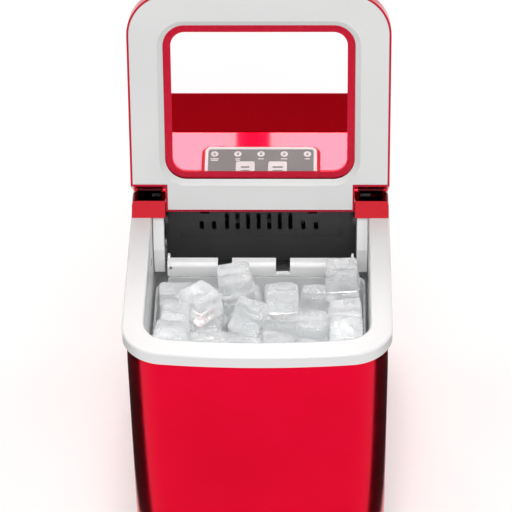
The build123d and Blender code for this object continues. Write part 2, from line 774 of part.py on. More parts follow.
with BuildPart() as ice_full_sensors:
    for side in (-1, 1):
        with BuildSketch(Plane.YZ.offset(side * (LINER_HALF + 0.1))):
            with Locations((-10, 268)):
                Circle(4.0)
        extrude(amount=side * 8)
save(ice_full_sensors.part, "ice_full_sensors")

# ---------------------------------------------------------------- ice basket
SHOULDER_X = 85.0
STEP = 6.0
BASKET_CORNER = 21.0


def basket_plan(inset):
    """Basket outline: follows the bin at the front, with small rear corners."""
    with BuildSketch() as plan:
        add(
            bowed_plan(
                BASKET_HALF - inset,
                BASKET_FRONT_Y + inset,
                MOUTH_BOW - inset,
                BASKET_BACK_Y - inset,
                BASKET_CORNER - inset,
            )
        )
        fillet(plan.vertices().group_by(Axis.Y)[-1], 8 - inset)
    return plan.sketch


with BuildPart() as ice_basket:
    with BuildSketch(Plane.XY.offset(BASKET_BOTTOM)):
        add(basket_plan(0))
    extrude(amount=BASKET_REAR_TOP - BASKET_BOTTOM)
    with BuildSketch(Plane.XY.offset(BASKET_BOTTOM + BASKET_WALL)):
        add(basket_plan(BASKET_WALL))
    extrude(amount=BASKET_REAR_TOP, mode=Mode.SUBTRACT)
    # only the middle of the rear wall keeps its full height
    with BuildSketch(Plane.XY.offset(BASKET_TOP)):
        with Locations((0, BASKET_BACK_Y - 12)):
            Rectangle(WIDTH, DEPTH, align=(Align.CENTER, Align.MAX))
    extrude(amount=30, mode=Mode.SUBTRACT)
    with BuildSketch(Plane.XZ.offset(-BASKET_BACK_Y - 2)):
        with BuildLine():
            for side in (-1, 1):
                Line((side * 110, BASKET_REAR_TOP + 2), (side * 110, BASKET_TOP))
                Line((side * 110, BASKET_TOP), (side * (SHOULDER_X + STEP), BASKET_TOP))
                Spline(
                    (side * (SHOULDER_X + STEP), BASKET_TOP),
                    (side * (SHOULDER_X - 1), BASKET_REAR_TOP),
                    tangents=((-side, 0), (-side, 0)),
                )
                Line(
                    (side * (SHOULDER_X - 1), BASKET_REAR_TOP),
                    (side * (SHOULDER_X - 1), BASKET_REAR_TOP + 2),
                )
                Line(
                    (side * (SHOULDER_X - 1), BASKET_REAR_TOP + 2),
                    (side * 110, BASKET_REAR_TOP + 2),
                )
        make_face()
    extrude(amount=30, mode=Mode.SUBTRACT)
    # drain slots in the floor
    with BuildSketch(Plane.XY.offset(BASKET_BOTTOM - 1)):
        with Locations((0, -80)):
            with GridLocations(24.0, 16.0, 7, 7):
                SlotOverall(14.0, 4.0)
    extrude(amount=5, mode=Mode.SUBTRACT)
save(ice_basket.part, "ice_basket")

# ---------------------------------------------------------------- evaporator cover
COVER_BOTTOM = 233.0
COVER_TOP = 296.5
PANEL_EDGE_Z = 261.0
PANEL_HALF = 77.7
TALL_SLOTS = [-32.0 + 10.0 * i for i in range(7)]
SHORT_SLOTS = (-56.0, -44.3, 40.3, 52.3)
with BuildPart() as evaporator_cover:
    with BuildSketch(Plane.XZ.offset(-COVER_Y)):
        with Locations((0, (COVER_BOTTOM + COVER_TOP) / 2)):
            Rectangle(2 * COVER_HALF, COVER_TOP - COVER_BOTTOM)
    extrude(amount=-COVER_THICK)
    # shallow recessed panel, open at the top
    with BuildSketch(Plane.XZ.offset(-COVER_Y)):
        with Locations((0, PANEL_EDGE_Z)):
            RectangleRounded(2 * PANEL_HALF, 70, 5, align=(Align.CENTER, Align.MIN))
    extrude(amount=-1.5, mode=Mode.SUBTRACT)
    with BuildSketch(Plane.XZ.offset(-COVER_Y + 1)):
        with Locations(*[(x, 279.5) for x in TALL_SLOTS]):
            SlotOverall(21.0, 4.0, rotation=90)
        with Locations(*[(x, 274.5) for x in SHORT_SLOTS]):
            SlotOverall(11.0, 4.2, rotation=90)
        with Locations((-53.0, 290.3), (49.0, 290.3)):
            Rectangle(8.5, 3.0)
    extrude(amount=-COVER_THICK - 2, mode=Mode.SUBTRACT)
    # top flange under the deck's front edge, lugs for the arms' pivots
    with Locations((0, (COVER_Y + RIM_BACK_Y) / 2, COVER_TOP - 1.5)):
        Box(2 * COVER_HALF, RIM_BACK_Y - COVER_Y, 3.0)
    for side in (-1, 1):
        with BuildSketch(Plane.YZ.offset(side * LUG_INNER)):
            with Locations((PIVOT_Y, PIVOT_Z)):
                Circle(4.5)
            with Locations((PIVOT_Y, PIVOT_Z - 4.5)):
                Rectangle(COVER_Y - PIVOT_Y + 0.5, 9.0, align=(Align.MIN, Align.MIN))
            with Locations((PIVOT_Y, PIVOT_Z)):
                Circle(PIN_RADIUS + 0.02, mode=Mode.SUBTRACT)
        extrude(amount=side * (LUG_OUTER - LUG_INNER))
    # brackets behind it for the water tray
    for side in (-1, 1):
        with BuildSketch(Plane.YZ.offset(side * 68.0)):
            with Locations((COVER_Y + COVER_THICK - 0.5, TRAY_Z + 2)):
                Rectangle(34.0, 22.0, align=(Align.MIN, Align.CENTER))
            with Locations((TRAY_Y, TRAY_Z)):
                Circle(4.06, mode=Mode.SUBTRACT)
        extrude(amount=side * 3.5)
save(evaporator_cover.part, "evaporator_cover")

# ---------------------------------------------------------------- shovel and arms
ARM_FRONT_Y = 9.0
ARM_BEND_Z = 267.0
ARM_BOTTOM = 239.2
ARM_THICK = 10.0
SHOVEL_PIN = (13.0, 253.5)


def swing_arm(side):
    """One arm: a pivot eye, a slanted upper part and an upright lower part."""
    with BuildPart() as arm:
        with BuildSketch(Plane.YZ.offset(side * ARM_INNER)) as profile:
            with BuildLine():
                Polyline(
                    (PIVOT_Y - 7.8, PIVOT_Z + 1),
                    (ARM_FRONT_Y, ARM_BEND_Z),
                    (ARM_FRONT_Y, ARM_BOTTOM),
                    (ARM_FRONT_Y + ARM_THICK, ARM_BOTTOM),
                    (ARM_FRONT_Y + ARM_THICK, ARM_BEND_Z - 2),
                    (PIVOT_Y + 7.5, PIVOT_Z - 2),
                    (PIVOT_Y, PIVOT_Z),
                    close=True,
                )
            make_face()
            with Locations((PIVOT_Y, PIVOT_Z)):
                Circle(7.9)
            fillet(profile.vertices().group_by(Axis.Y)[0], 1.5)
        extrude(amount=side * (ARM_OUTER - ARM_INNER))
        chamfer(arm.faces().sort_by(Axis.X)[0].edges(), 0.5)
        chamfer(arm.faces().sort_by(Axis.X)[-1].edges(), 0.5)
        with BuildSketch(Plane.YZ.offset(side * (ARM_INNER - 1))):
            with Locations((PIVOT_Y, PIVOT_Z)):
                Circle(PIN_RADIUS + RUNNING)
        extrude(amount=side * 20, mode=Mode.SUBTRACT)
        with BuildSketch(Plane.YZ.offset(side * (ARM_INNER - 1))):
            with Locations(SHOVEL_PIN):
                Circle(2.52)
        extrude(amount=side * 7, mode=Mode.SUBTRACT)
    return arm.part


save(swing_arm(-1), "left_swing_arm")
save(swing_arm(1), "right_swing_arm")

SHOVEL_THICK = 2.0
BEND = 4.0
with BuildPart() as ice_shovel:
    with BuildSketch(Plane.YZ.offset(-SHOVEL_HALF)):
        with BuildLine():
            Line((SHOVEL_Y + SHOVEL_THICK, SHOVEL_BOTTOM), (SHOVEL_Y, SHOVEL_BOTTOM))
            Line((SHOVEL_Y, SHOVEL_BOTTOM), (SHOVEL_Y, SHOVEL_TOP - BEND))
            RadiusArc((SHOVEL_Y, SHOVEL_TOP - BEND), (SHOVEL_Y + BEND, SHOVEL_TOP), BEND)
            Line((SHOVEL_Y + BEND, SHOVEL_TOP), (SHOVEL_Y + 9.5, SHOVEL_TOP))
            Line((SHOVEL_Y + 9.5, SHOVEL_TOP), (SHOVEL_Y + 9.5, SHOVEL_TOP - SHOVEL_THICK))
            Line((SHOVEL_Y + 9.5, SHOVEL_TOP - SHOVEL_THICK), (SHOVEL_Y + BEND, SHOVEL_TOP - SHOVEL_THICK))
            RadiusArc(
                (SHOVEL_Y + BEND, SHOVEL_TOP - SHOVEL_THICK),
                (SHOVEL_Y + SHOVEL_THICK, SHOVEL_TOP - BEND),
                -(BEND - SHOVEL_THICK),
            )
            Line((SHOVEL_Y + SHOVEL_THICK, SHOVEL_TOP - BEND), (SHOVEL_Y + SHOVEL_THICK, SHOVEL_BOTTOM))
        make_face()
    extrude(amount=2 * SHOVEL_HALF)
    with BuildSketch(Plane.XZ.offset(-SHOVEL_Y + 2)):
        with Locations(*[(x, SHOVEL_BOTTOM + 2.5) for x in SHOVEL_SLOTS]):
            Rectangle(SHOVEL_SLOT_WIDTH, 30, align=(Align.CENTER, Align.MIN))
        with Locations((-85.0, 251.2), (85.0, 251.2)):
            Circle(1.9)
    extrude(amount=-20, mode=Mode.SUBTRACT)
    # stiffening bar behind the lower edge, ears at the ends
    with Locations((0, SHOVEL_Y + SHOVEL_THICK + 1.4, SHOVEL_BOTTOM + 1.25)):
        Box(2 * SHOVEL_HALF, 3.0, 2.5)
    for side in (-1, 1):
        with BuildSketch(Plane.YZ.offset(side * SHOVEL_HALF)):
            with Locations(SHOVEL_PIN):
                Circle(5.0)
            with Locations((SHOVEL_Y + 1.0, SHOVEL_PIN[1])):
                Rectangle(SHOVEL_PIN[0] - SHOVEL_Y - 1.0, 6.0, align=(Align.MIN, Align.CENTER))
            with Locations(SHOVEL_PIN):
                Circle(2.52, mode=Mode.SUBTRACT)
        extrude(amount=-side * 2.2)
save(ice_shovel.part, "ice_shovel")

with BuildPart() as shovel_pins:
    for side in (-1, 1):
        with BuildSketch(Plane.YZ.offset(side * 84.0)):
            with Locations(SHOVEL_PIN):
                Circle(2.5)
        extrude(amount=side * 12.0)
save(shovel_pins.part, "shovel_pins")

with BuildPart() as arm_pivot_pins:
    for side in (-1, 1):
        with BuildSketch(Plane.YZ.offset(side * LUG_INNER)):
            with Locations((PIVOT_Y, PIVOT_Z)):
                Circle(PIN_RADIUS)
        extrude(amount=side * (101.0 - LUG_INNER))
save(arm_pivot_pins.part, "arm_pivot_pins")

# ---------------------------------------------------------------- evaporator, tray and motor
finger_spots = [(FINGER_PITCH * (i - FINGER_COUNT // 2), TRAY_Y) for i in range(FINGER_COUNT)]
with BuildPart() as evaporator:
    with BuildSketch(Plane.YZ.offset(-69.0)):
        with Locations((TRAY_Y, EVAP_Z)):
            RectangleRounded(14.0, 10.0, 4.0)
    extrude(amount=138.0)
    with BuildSketch(Plane.XY.offset(EVAP_Z - 2)):
        with Locations(*finger_spots):
            Circle(4.3)
    extrude(amount=-(EVAP_Z - 2 - 232.0))
    with Locations(*[(x, y, 232.0) for x, y in finger_spots]):
        Sphere(4.3)
    with BuildSketch(Plane.XZ.offset(-TRAY_Y)):
        with Locations((-EVAP_STUB_X, EVAP_Z), (EVAP_STUB_X, EVAP_Z)):
            Circle(TUBE_RADIUS)
    extrude(amount=-(100.0 - TRAY_Y))
save(evaporator.part, "evaporator")

with BuildPart() as water_tray:
    with BuildSketch(Plane.YZ.offset(-TRAY_HALF)) as trough:
        with Locations((TRAY_Y, TRAY_Z)):
            Circle(TRAY_RADIUS)
        with Locations((TRAY_Y, TRAY_Z)):
            Rectangle(
                2 * TRAY_RADIUS + 2, TRAY_RADIUS + 2, align=(Align.CENTER, Align.MIN), mode=Mode.SUBTRACT
            )
        with Locations((TRAY_Y, TRAY_Z - 0.1)):
            Rectangle(2 * TRAY_RADIUS, 6.1, align=(Align.CENTER, Align.MIN))
    extrude(amount=2 * TRAY_HALF)
    with BuildSketch(Plane.YZ.offset(-TRAY_HALF + 2)):
        with Locations((TRAY_Y, TRAY_Z)):
            Circle(TRAY_RADIUS - 2)
        with Locations((TRAY_Y, TRAY_Z)):
            Rectangle(2 * TRAY_RADIUS - 4, 20, align=(Align.CENTER, Align.MIN))
    extrude(amount=2 * TRAY_HALF - 4, mode=Mode.SUBTRACT)
    with BuildSketch(Plane.YZ.offset(-TRAY_HALF)):
        with Locations((TRAY_Y, TRAY_Z)):
            Circle(4.0)
    extrude(amount=-14.0)
    with BuildSketch(Plane.YZ.offset(TRAY_HALF)):
        with Locations((TRAY_Y, TRAY_Z)):
            Circle(4.0)
    extrude(amount=7.0)
save(water_tray.part, "water_tray")

MOTOR_FACE = -76.0
with BuildPart() as tray_motor:
    with BuildSketch(Plane.YZ.offset(MOTOR_FACE)):
        with Locations((TRAY_Y, TRAY_Z)):
            Circle(19.0)
    extrude(amount=-21.0)
    with BuildSketch(Plane.YZ.offset(MOTOR_FACE)):
        with Locations((TRAY_Y, TRAY_Z)):
            Circle(4.06)
    extrude(amount=-6.0, mode=Mode.SUBTRACT)
    with Locations((MOTOR_FACE - 20.0, TRAY_Y, TRAY_Z + 22.0)):
        Box(2.0, 16.0, 12.0)
save(tray_motor.part, "tray_motor")

# ---------------------------------------------------------------- water pump, hoses and drain
PUMP_BODY = (38.0, 34.0, 44.0)
with BuildPart() as water_pump:
    with Locations((INLET_HOLE[0], INLET_HOLE[1], FOOT_HEIGHT + SKIN)):
        Box(*PUMP_BODY, align=(Align.CENTER, Align.CENTER, Align.MIN))
    fillet(water_pump.edges().filter_by(Axis.Z), 6)
    with BuildSketch(Plane.XY.offset(FOOT_HEIGHT + SKIN + PUMP_BODY[2])):
        with Locations(INLET_HOLE):
            Circle(4.0)
    extrude(amount=LINER_FLOOR - 1 - FOOT_HEIGHT - SKIN - PUMP_BODY[2])
    with BuildSketch(Plane.XZ.offset(-INLET_HOLE[1] - PUMP_BODY[1] / 2)):
        with Locations((SUPPLY_X, 40.0)):
            Circle(4.0)
        with Locations((SUPPLY_X - 8, 40.0)):
            Rectangle(16, 8)
    extrude(amount=10)
save(water_pump.part, "water_pump")

supply_route = (
    (SUPPLY_X, INLET_HOLE[1] + PUMP_BODY[1] / 2 + 0.1, 40.0),
    (SUPPLY_X, SUPPLY_Y, 40.0),
    (SUPPLY_X, SUPPLY_Y, SUPPLY_TOP),
    (56.0, SUPPLY_Y + 10, SUPPLY_TOP),
)
save(tube(supply_route, 8.0, 3.8), "supply_hose")

with BuildPart() as drain_pipe:
    with BuildLine() as drain_path:
        FilletPolyline(
            (DRAIN_SPIGOT[0], DRAIN_Y, LINER_FLOOR - 12.1),
            (DRAIN_SPIGOT[0], DRAIN_Y, DRAIN_Z),
            (-BODY_HALF - 1.2, DRAIN_Y, DRAIN_Z),
            radius=12.0,
        )
    with BuildSketch(Plane(origin=drain_path.line @ 0, z_dir=drain_path.line % 0)):
        Circle(6.0)
        Circle(4.0, mode=Mode.SUBTRACT)
    sweep()
    with BuildSketch(Plane.YZ.offset(-BODY_HALF - 1.2)):
        with Locations((DRAIN_Y, DRAIN_Z)):
            Circle(11.0)
            Circle(4.0, mode=Mode.SUBTRACT)
    extrude(amount=1.0)
save(drain_pipe.part, "drain_pipe")

with BuildPart() as drain_plug:
    with BuildSketch(Plane.YZ.offset(-RIM_HALF)):
        with Locations((DRAIN_Y, DRAIN_Z)):
            Circle(10.0)
    extrude(amount=RIM_HALF - BODY_HALF - 1.5)
    with BuildSketch(Plane.YZ.offset(-RIM_HALF)):
        with Locations((DRAIN_Y, DRAIN_Z)):
            Circle(3.7)
    extrude(amount=14)
    with BuildSketch(Plane.YZ.offset(-RIM_HALF)):
        with Locations((DRAIN_Y, DRAIN_Z)):
            Rectangle(12, 2.2)
    extrude(amount=1.2, mode=Mode.SUBTRACT)
save(drain_plug.part, "drain_plug")

# ---------------------------------------------------------------- compressor
GROMMET_HEIGHT = 14.0
SEAT_Z = FOOT_HEIGHT + SKIN + GROMMET_HEIGHT
with BuildPart() as compressor:
    with BuildSketch(Plane.XY.offset(SEAT_Z)):
        with Locations(COMPRESSOR):
            RectangleRounded(88, 88, 12)
    extrude(amount=3)
    with BuildSketch(Plane.XY.offset(SEAT_Z + 3)):
        with Locations(COMPRESSOR):
            Circle(COMPRESSOR_RADIUS - 2)
    extrude(amount=172.0 - SEAT_Z - 3)
    fillet(compressor.faces().sort_by(Axis.Z)[-1].edges(), 26)
    with BuildSketch(Plane.XY.offset(96)):
        with Locations(COMPRESSOR):
            Circle(COMPRESSOR_RADIUS)
    extrude(amount=6)
save(compressor.part, "compressor")

with BuildPart() as compressor_grommets:
    with BuildSketch(Plane.XY.offset(FOOT_HEIGHT + SKIN)):
        with Locations(COMPRESSOR):
            with GridLocations(68, 68, 2, 2):
                Circle(7.0)
    extrude(amount=GROMMET_HEIGHT)
save(compressor_grommets.part, "compressor_grommets")

# ---------------------------------------------------------------- condenser and fan
FIN_HALF_DEPTH = 10.5
FIN_PITCH = 4.0
FIN_COUNT = 21
COIL_X = (8.0, 106.0)
coil_top = COIL_Z + COIL_PITCH * (COIL_TUBES - 1)
with BuildPart() as condenser_fins:
    with BuildSketch(Plane.YZ.offset(18.0)):
        with Locations((COIL_Y, (COIL_Z + coil_top) / 2)):
            Rectangle(2 * FIN_HALF_DEPTH, coil_top - COIL_Z + COIL_PITCH)
            with GridLocations(0, COIL_PITCH, 1, COIL_TUBES):
                Circle(TUBE_RADIUS + 0.05, mode=Mode.SUBTRACT)
    fin = extrude(amount=0.8)
    with Locations(*[(FIN_PITCH * i, 0, 0) for i in range(1, FIN_COUNT)]):
        add(fin)
save(condenser_fins.part, "condenser_fins")

coil_route = []
for row in range(COIL_TUBES):
    ends = COIL_X if row % 2 == 0 else COIL_X[::-1]
    coil_route += [(x, COIL_Y, COIL_Z + COIL_PITCH * row) for x in ends]
save(tube(coil_route, COIL_PITCH / 2 - 0.1, TUBE_RADIUS), "condenser_coil")

SHROUD_Y = 146.0
with BuildPart() as fan_shroud:
    with BuildSketch(Plane.XZ.offset(-SHROUD_Y)):
        with Locations((FAN_X, 106.0)):
            Rectangle(96.0, 134.0)
        with Locations((FAN_X, FAN_Z)):
            Circle(FAN_RADIUS + 2.0, mode=Mode.SUBTRACT)
    extrude(amount=2.0)
    with BuildSketch(Plane.XZ.offset(-SHROUD_Y)):
        with Locations((FAN_X, FAN_Z)):
            Circle(FAN_RADIUS + 4.0)
            Circle(FAN_RADIUS + 2.0, mode=Mode.SUBTRACT)
    extrude(amount=20.0)
save(fan_shroud.part, "fan_shroud")

with BuildPart() as one_blade:
    with BuildSketch(Plane.YZ.offset(11.0)):
        Rectangle(22.0, 1.6, rotation=28)
    with BuildSketch(Plane.YZ.offset(FAN_RADIUS - 3)):
        Rectangle(26.0, 1.2, rotation=14)
    loft()
with BuildPart() as fan_blade:
    with Locations(Plane(origin=(FAN_X, 136.0, FAN_Z), x_dir=(1, 0, 0), z_dir=(0, 1, 0))):
        Cylinder(12.0, 12.0)
        with PolarLocations(0, 6):
            add(one_blade.part)
        Hole(2.55)
save(fan_blade.part, "fan_blade")

with BuildPart() as fan_motor:
    with BuildSketch(Plane.XZ.offset(-122.0)):
        with Locations((FAN_X, FAN_Z)):
            Circle(18.0)
    extrude(amount=24.0)
    with BuildSketch(Plane.XZ.offset(-138.0)):
        with Locations((FAN_X, FAN_Z)):
            Circle(2.5)
    extrude(amount=17.0)
    with Locations((FAN_X, 110.0, FOOT_HEIGHT + SKIN)):
        Box(20.0, 16.0, 82.0, align=(Align.CENTER, Align.CENTER, Align.MIN))
        Box(44.0, 20.0, 3.0, align=(Align.CENTER, Align.CENTER, Align.MIN))
save(fan_motor.part, "fan_motor")

# ---------------------------------------------------------------- refrigerant pipework
DRIER_Y = 150.0
DRIER_Z = 205.0
with BuildPart() as filter_drier:
    with BuildSketch(Plane.YZ.offset(-80.0)):
        with Locations((DRIER_Y, DRIER_Z)):
            Circle(9.0)
    extrude(amount=50.0)
    fillet(filter_drier.edges().filter_by(GeomType.CIRCLE), 4.5)
save(filter_drier.part, "filter_drier")

discharge_route = (
    (-24.0, 135.0, 171.0),
    (-24.0, 135.0, 188.0),
    (-14.0, COIL_Y, 188.0),
    (-14.0, COIL_Y, coil_top),
    (COIL_X[0] - 0.1, COIL_Y, coil_top),
)
save(tube(discharge_route, 5.0, TUBE_RADIUS), "discharge_pipe")

liquid_route = (
    (COIL_X[0] - 0.1, COIL_Y, COIL_Z),
    (0.0, COIL_Y, COIL_Z),
    (0.0, 169.5, 60.0),
    (0.0, 169.5, DRIER_Z),
    (0.0, DRIER_Y, DRIER_Z),
    (-29.9, DRIER_Y, DRIER_Z),
)
save(tube(liquid_route, 4.0, 2.5), "liquid_pipe")

capillary_route = (
    (-80.1, DRIER_Y, DRIER_Z),
    (-98.0, DRIER_Y, DRIER_Z),
    (-98.0, DRIER_Y, EVAP_Z),
    (-EVAP_STUB_X, DRIER_Y - 10, EVAP_Z),
    (-EVAP_STUB_X, 100.1, EVAP_Z),
)
save(tube(capillary_route, 8.0, 1.5), "capillary_tube")

suction_route = (
    (EVAP_STUB_X, 100.1, EVAP_Z),
    (EVAP_STUB_X, 122.0, EVAP_Z),
    (EVAP_STUB_X, 122.0, 236.0),
    (-60.0, 122.0, 236.0),
    (-60.0, 122.0, 172.1),
)
save(tube(suction_route, 9.0, TUBE_RADIUS), "suction_pipe")

with BuildPart() as hot_gas_valve:
    with Locations((96.0, 104.0, 222.0)):
        Box(22.0, 24.0, 30.0)
    with BuildSketch(Plane.XY.offset(237.0)):
        with Locations((96.0, 104.0)):
            Circle(8.0)
    extrude(amount=14.0)
save(hot_gas_valve.part, "hot_gas_valve")

bypass_route = (
    (-48.0, 100.0, 172.1),
    (-48.0, 100.0, 214.0),
    (84.9, 104.0, 214.0),
)
save(tube(bypass_route, 9.0, 2.5), "bypass_pipe")
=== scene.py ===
"""A countertop ice maker with its lid open and its basket full of ice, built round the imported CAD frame.

Everything is in metres, in the CAD model's frame: X to the right, Y to the back, Z up, the worktop at z = 0.
"""

import json
import random
from math import cos, pi, radians, sin

import bmesh
import bpy
from mathutils import Matrix, Vector, noise


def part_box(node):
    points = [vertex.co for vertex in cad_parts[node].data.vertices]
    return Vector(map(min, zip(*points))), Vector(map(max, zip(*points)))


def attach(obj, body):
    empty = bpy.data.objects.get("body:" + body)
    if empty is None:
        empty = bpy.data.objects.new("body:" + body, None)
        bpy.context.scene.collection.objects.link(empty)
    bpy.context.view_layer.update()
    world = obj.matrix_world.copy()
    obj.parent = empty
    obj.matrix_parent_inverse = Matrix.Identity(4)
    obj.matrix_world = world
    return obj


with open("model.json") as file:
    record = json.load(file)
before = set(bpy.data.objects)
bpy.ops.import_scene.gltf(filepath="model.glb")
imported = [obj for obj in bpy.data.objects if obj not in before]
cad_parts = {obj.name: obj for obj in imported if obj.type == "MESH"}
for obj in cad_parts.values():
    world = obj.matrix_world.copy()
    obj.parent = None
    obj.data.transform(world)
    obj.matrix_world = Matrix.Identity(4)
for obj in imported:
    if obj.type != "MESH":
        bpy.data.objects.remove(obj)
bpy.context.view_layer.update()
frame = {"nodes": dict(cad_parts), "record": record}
nodes = frame["nodes"]

MM = 0.001
MICRON = 0.000001
SEED = 16
random.seed(SEED)


# ---------------------------------------------------------------- camera
CAMERA_PLACE = Vector((0.053, -1.834, 1.807))
CAMERA_DOWN = radians(40.0)
CAMERA_YAW = radians(-1.78)
CAMERA_ROLL = radians(-1.05)
LENS = 179.4
SENSOR_WIDTH = 36.0
CLIP_END = 50.0


def make_camera():
    """The camera, turned by yaw, tilted down and rolled a little."""
    ahead = cos(CAMERA_DOWN)
    forward = Vector((sin(CAMERA_YAW) * ahead, cos(CAMERA_YAW) * ahead, -sin(CAMERA_DOWN)))
    level = Vector((cos(CAMERA_YAW), -sin(CAMERA_YAW), 0))
    above = level.cross(forward)
    right = cos(CAMERA_ROLL) * level + sin(CAMERA_ROLL) * above
    up = -sin(CAMERA_ROLL) * level + cos(CAMERA_ROLL) * above
    data = bpy.data.cameras.new("camera")
    data.lens = LENS
    data.sensor_width = SENSOR_WIDTH
    data.clip_end = CLIP_END
    camera = bpy.data.objects.new("camera", data)
    turn = Matrix((right, up, -forward)).transposed().to_4x4()
    camera.matrix_world = Matrix.Translation(CAMERA_PLACE) @ turn
    bpy.context.scene.collection.objects.link(camera)
    bpy.context.scene.camera = camera


make_camera()


# ---------------------------------------------------------------- material helpers
# the middle part of a noise texture's range, where nearly all its values lie
NOISE_LOW = 0.3
NOISE_HIGH = 0.7


def grey(value):
    return (value, value, value)


class Paint:
    """A Principled material with short ways to add colour variation and bump."""

    def __init__(self, name, colour, roughness, **values):
        """Makes the material. Extra values name a shader socket, with _ for each space."""
        self.material = bpy.data.materials.new(name)
        self.material.use_nodes = True
        self.tree = self.material.node_tree
        self.shader = self.tree.nodes["Principled BSDF"]
        self.shader.inputs["Base Color"].default_value = (*colour, 1)
        self.shader.inputs["Roughness"].default_value = roughness
        for key, value in values.items():
            self.shader.inputs[key.replace("_", " ")].default_value = value
        self.place = self.tree.nodes.new("ShaderNodeTexCoord").outputs["Object"]
        self.normal = None

    def noise(self, scale, detail=3.0, stretch=None):
        """A noise texture in object space, with its size in features per metre."""
        texture = self.tree.nodes.new("ShaderNodeTexNoise")
        texture.inputs["Scale"].default_value = scale
        texture.inputs["Detail"].default_value = detail
        source = self.place
        if stretch:
            mapping = self.tree.nodes.new("ShaderNodeMapping")
            mapping.inputs["Scale"].default_value = stretch
            self.tree.links.new(source, mapping.inputs["Vector"])
            source = mapping.outputs["Vector"]
        self.tree.links.new(source, texture.inputs["Vector"])
        return texture.outputs["Fac"]

    def math(self, operation, *values):
        """A math node. Each value is another node's output or a plain number."""
        node = self.tree.nodes.new("ShaderNodeMath")
        node.operation = operation
        for socket, value in zip(node.inputs, values):
            if isinstance(value, bpy.types.NodeSocket):
                self.tree.links.new(value, socket)
            else:
                socket.default_value = value
        return node.outputs[0]

    def ramp(self, value, low, high):
        """Maps a noise value to a colour between two."""
        ramp = self.tree.nodes.new("ShaderNodeValToRGB")
        ramp.color_ramp.elements[0].position = NOISE_LOW
        ramp.color_ramp.elements[1].position = NOISE_HIGH
        ramp.color_ramp.elements[0].color = (*low, 1)
        ramp.color_ramp.elements[1].color = (*high, 1)
        self.tree.links.new(value, ramp.inputs["Fac"])
        return ramp.outputs["Color"]

    def remap(self, value, low, high, start=NOISE_LOW, end=NOISE_HIGH):
        """Maps a value between start and end to one between low and high."""
        spread = self.tree.nodes.new("ShaderNodeMapRange")
        spread.inputs["From Min"].default_value = start
        spread.inputs["From Max"].default_value = end
        spread.inputs["To Min"].default_value = low
        spread.inputs["To Max"].default_value = high
        self.tree.links.new(value, spread.inputs["Value"])
        return spread.outputs["Result"]

    def tint(self, low, high, scale, detail=3.0, stretch=None):
        """Lets the colour wander between two close tones."""
        colour = self.ramp(self.noise(scale, detail, stretch), low, high)
        self.tree.links.new(colour, self.shader.inputs["Base Color"])
        return self

    def polish(self, low, high, scale, detail=4.0, stretch=None):
        """Lets the roughness wander between two values."""
        roughness = self.remap(self.noise(scale, detail, stretch), low, high)
        self.tree.links.new(roughness, self.shader.inputs["Roughness"])
        return self

    def bump(self, scale, height, strength=1.0, detail=2.0, stretch=None):
        """Adds a bump of that height in metres. Calls stack."""
        bump = self.tree.nodes.new("ShaderNodeBump")
        bump.inputs["Strength"].default_value = strength
        bump.inputs["Distance"].default_value = height
        self.tree.links.new(self.noise(scale, detail, stretch), bump.inputs["Height"])
        if self.normal is not None:
            self.tree.links.new(self.normal, bump.inputs["Normal"])
        self.normal = bump.outputs["Normal"]
        self.tree.links.new(self.normal, self.shader.inputs["Normal"])
        return self

    def glow(self, colour, strength):
        """Adds an even glow. The surface isn't sampled as a lamp."""
        self.shader.inputs["Emission Color"].default_value = (*colour, 1)
        self.shader.inputs["Emission Strength"].default_value = strength
        self.material.cycles.emission_sampling = "NONE"


# ---------------------------------------------------------------- materials
def red_gloss(name="red_gloss"):
    """Red metallic paint with a thin clear coat."""
    paint = Paint(name, (0.71, 0.0, 0.024), 0.2, Metallic=1.0, Coat_Weight=0.04, Coat_Roughness=0.03)
    paint.tint((0.69, 0.0, 0.022), (0.73, 0.0, 0.026), scale=14.0)
    paint.polish(0.17, 0.24, scale=60.0)
    return paint.bump(scale=220.0, height=30 * MICRON, strength=0.4).material


def lid_red():
    paint = Paint("lid_red", (0.66, 0.004, 0.035), 0.22, Metallic=0.95, Coat_Weight=0.4, Coat_Roughness=0.05)
    paint.tint((0.64, 0.003, 0.032), (0.68, 0.005, 0.038), scale=14.0)
    return paint.polish(0.21, 0.27, scale=60.0).material


# a Mix node's sockets for colours, which share their names with its other kinds
MIX_COLOUR_A = 6
MIX_COLOUR_B = 7
MIX_COLOUR_OUT = 2


def inside_box(paint, low, high):
    """1 where an object-space point lies between two corners, mirrored in x, and 0 elsewhere."""
    parts = paint.tree.nodes.new("ShaderNodeSeparateXYZ")
    paint.tree.links.new(paint.place, parts.inputs["Vector"])
    values = (paint.math("ABSOLUTE", parts.outputs["X"]), parts.outputs["Y"], parts.outputs["Z"])
    result = 1.0
    for value, a, b in zip(values, low, high):
        near = paint.math("COMPARE", value, (a + b) / 2, (b - a) / 2)
        result = paint.math("MULTIPLY", result, near)
    return result


# the two corners of the right hinge block's top and of the pocket inside it, and their painted shade: a
# deeper red on the top, near-black in the pocket, and less coat on both
BLOCK_TOP = ((0.0885, 0.0232, 0.3108), (0.1205, 0.0405, 0.3155))
BLOCK_POCKET = ((0.0915, 0.0238, 0.300), (0.1155, 0.050, 0.3145))
BLOCK_TOP_PAINTED_SHADE = (0.16, 0.0, 0.008)
POCKET_PAINTED_SHADE = (0.03, 0.001, 0.003)
DECK_COAT = 0.85
PAINTED_SHADE_COAT = 0.1


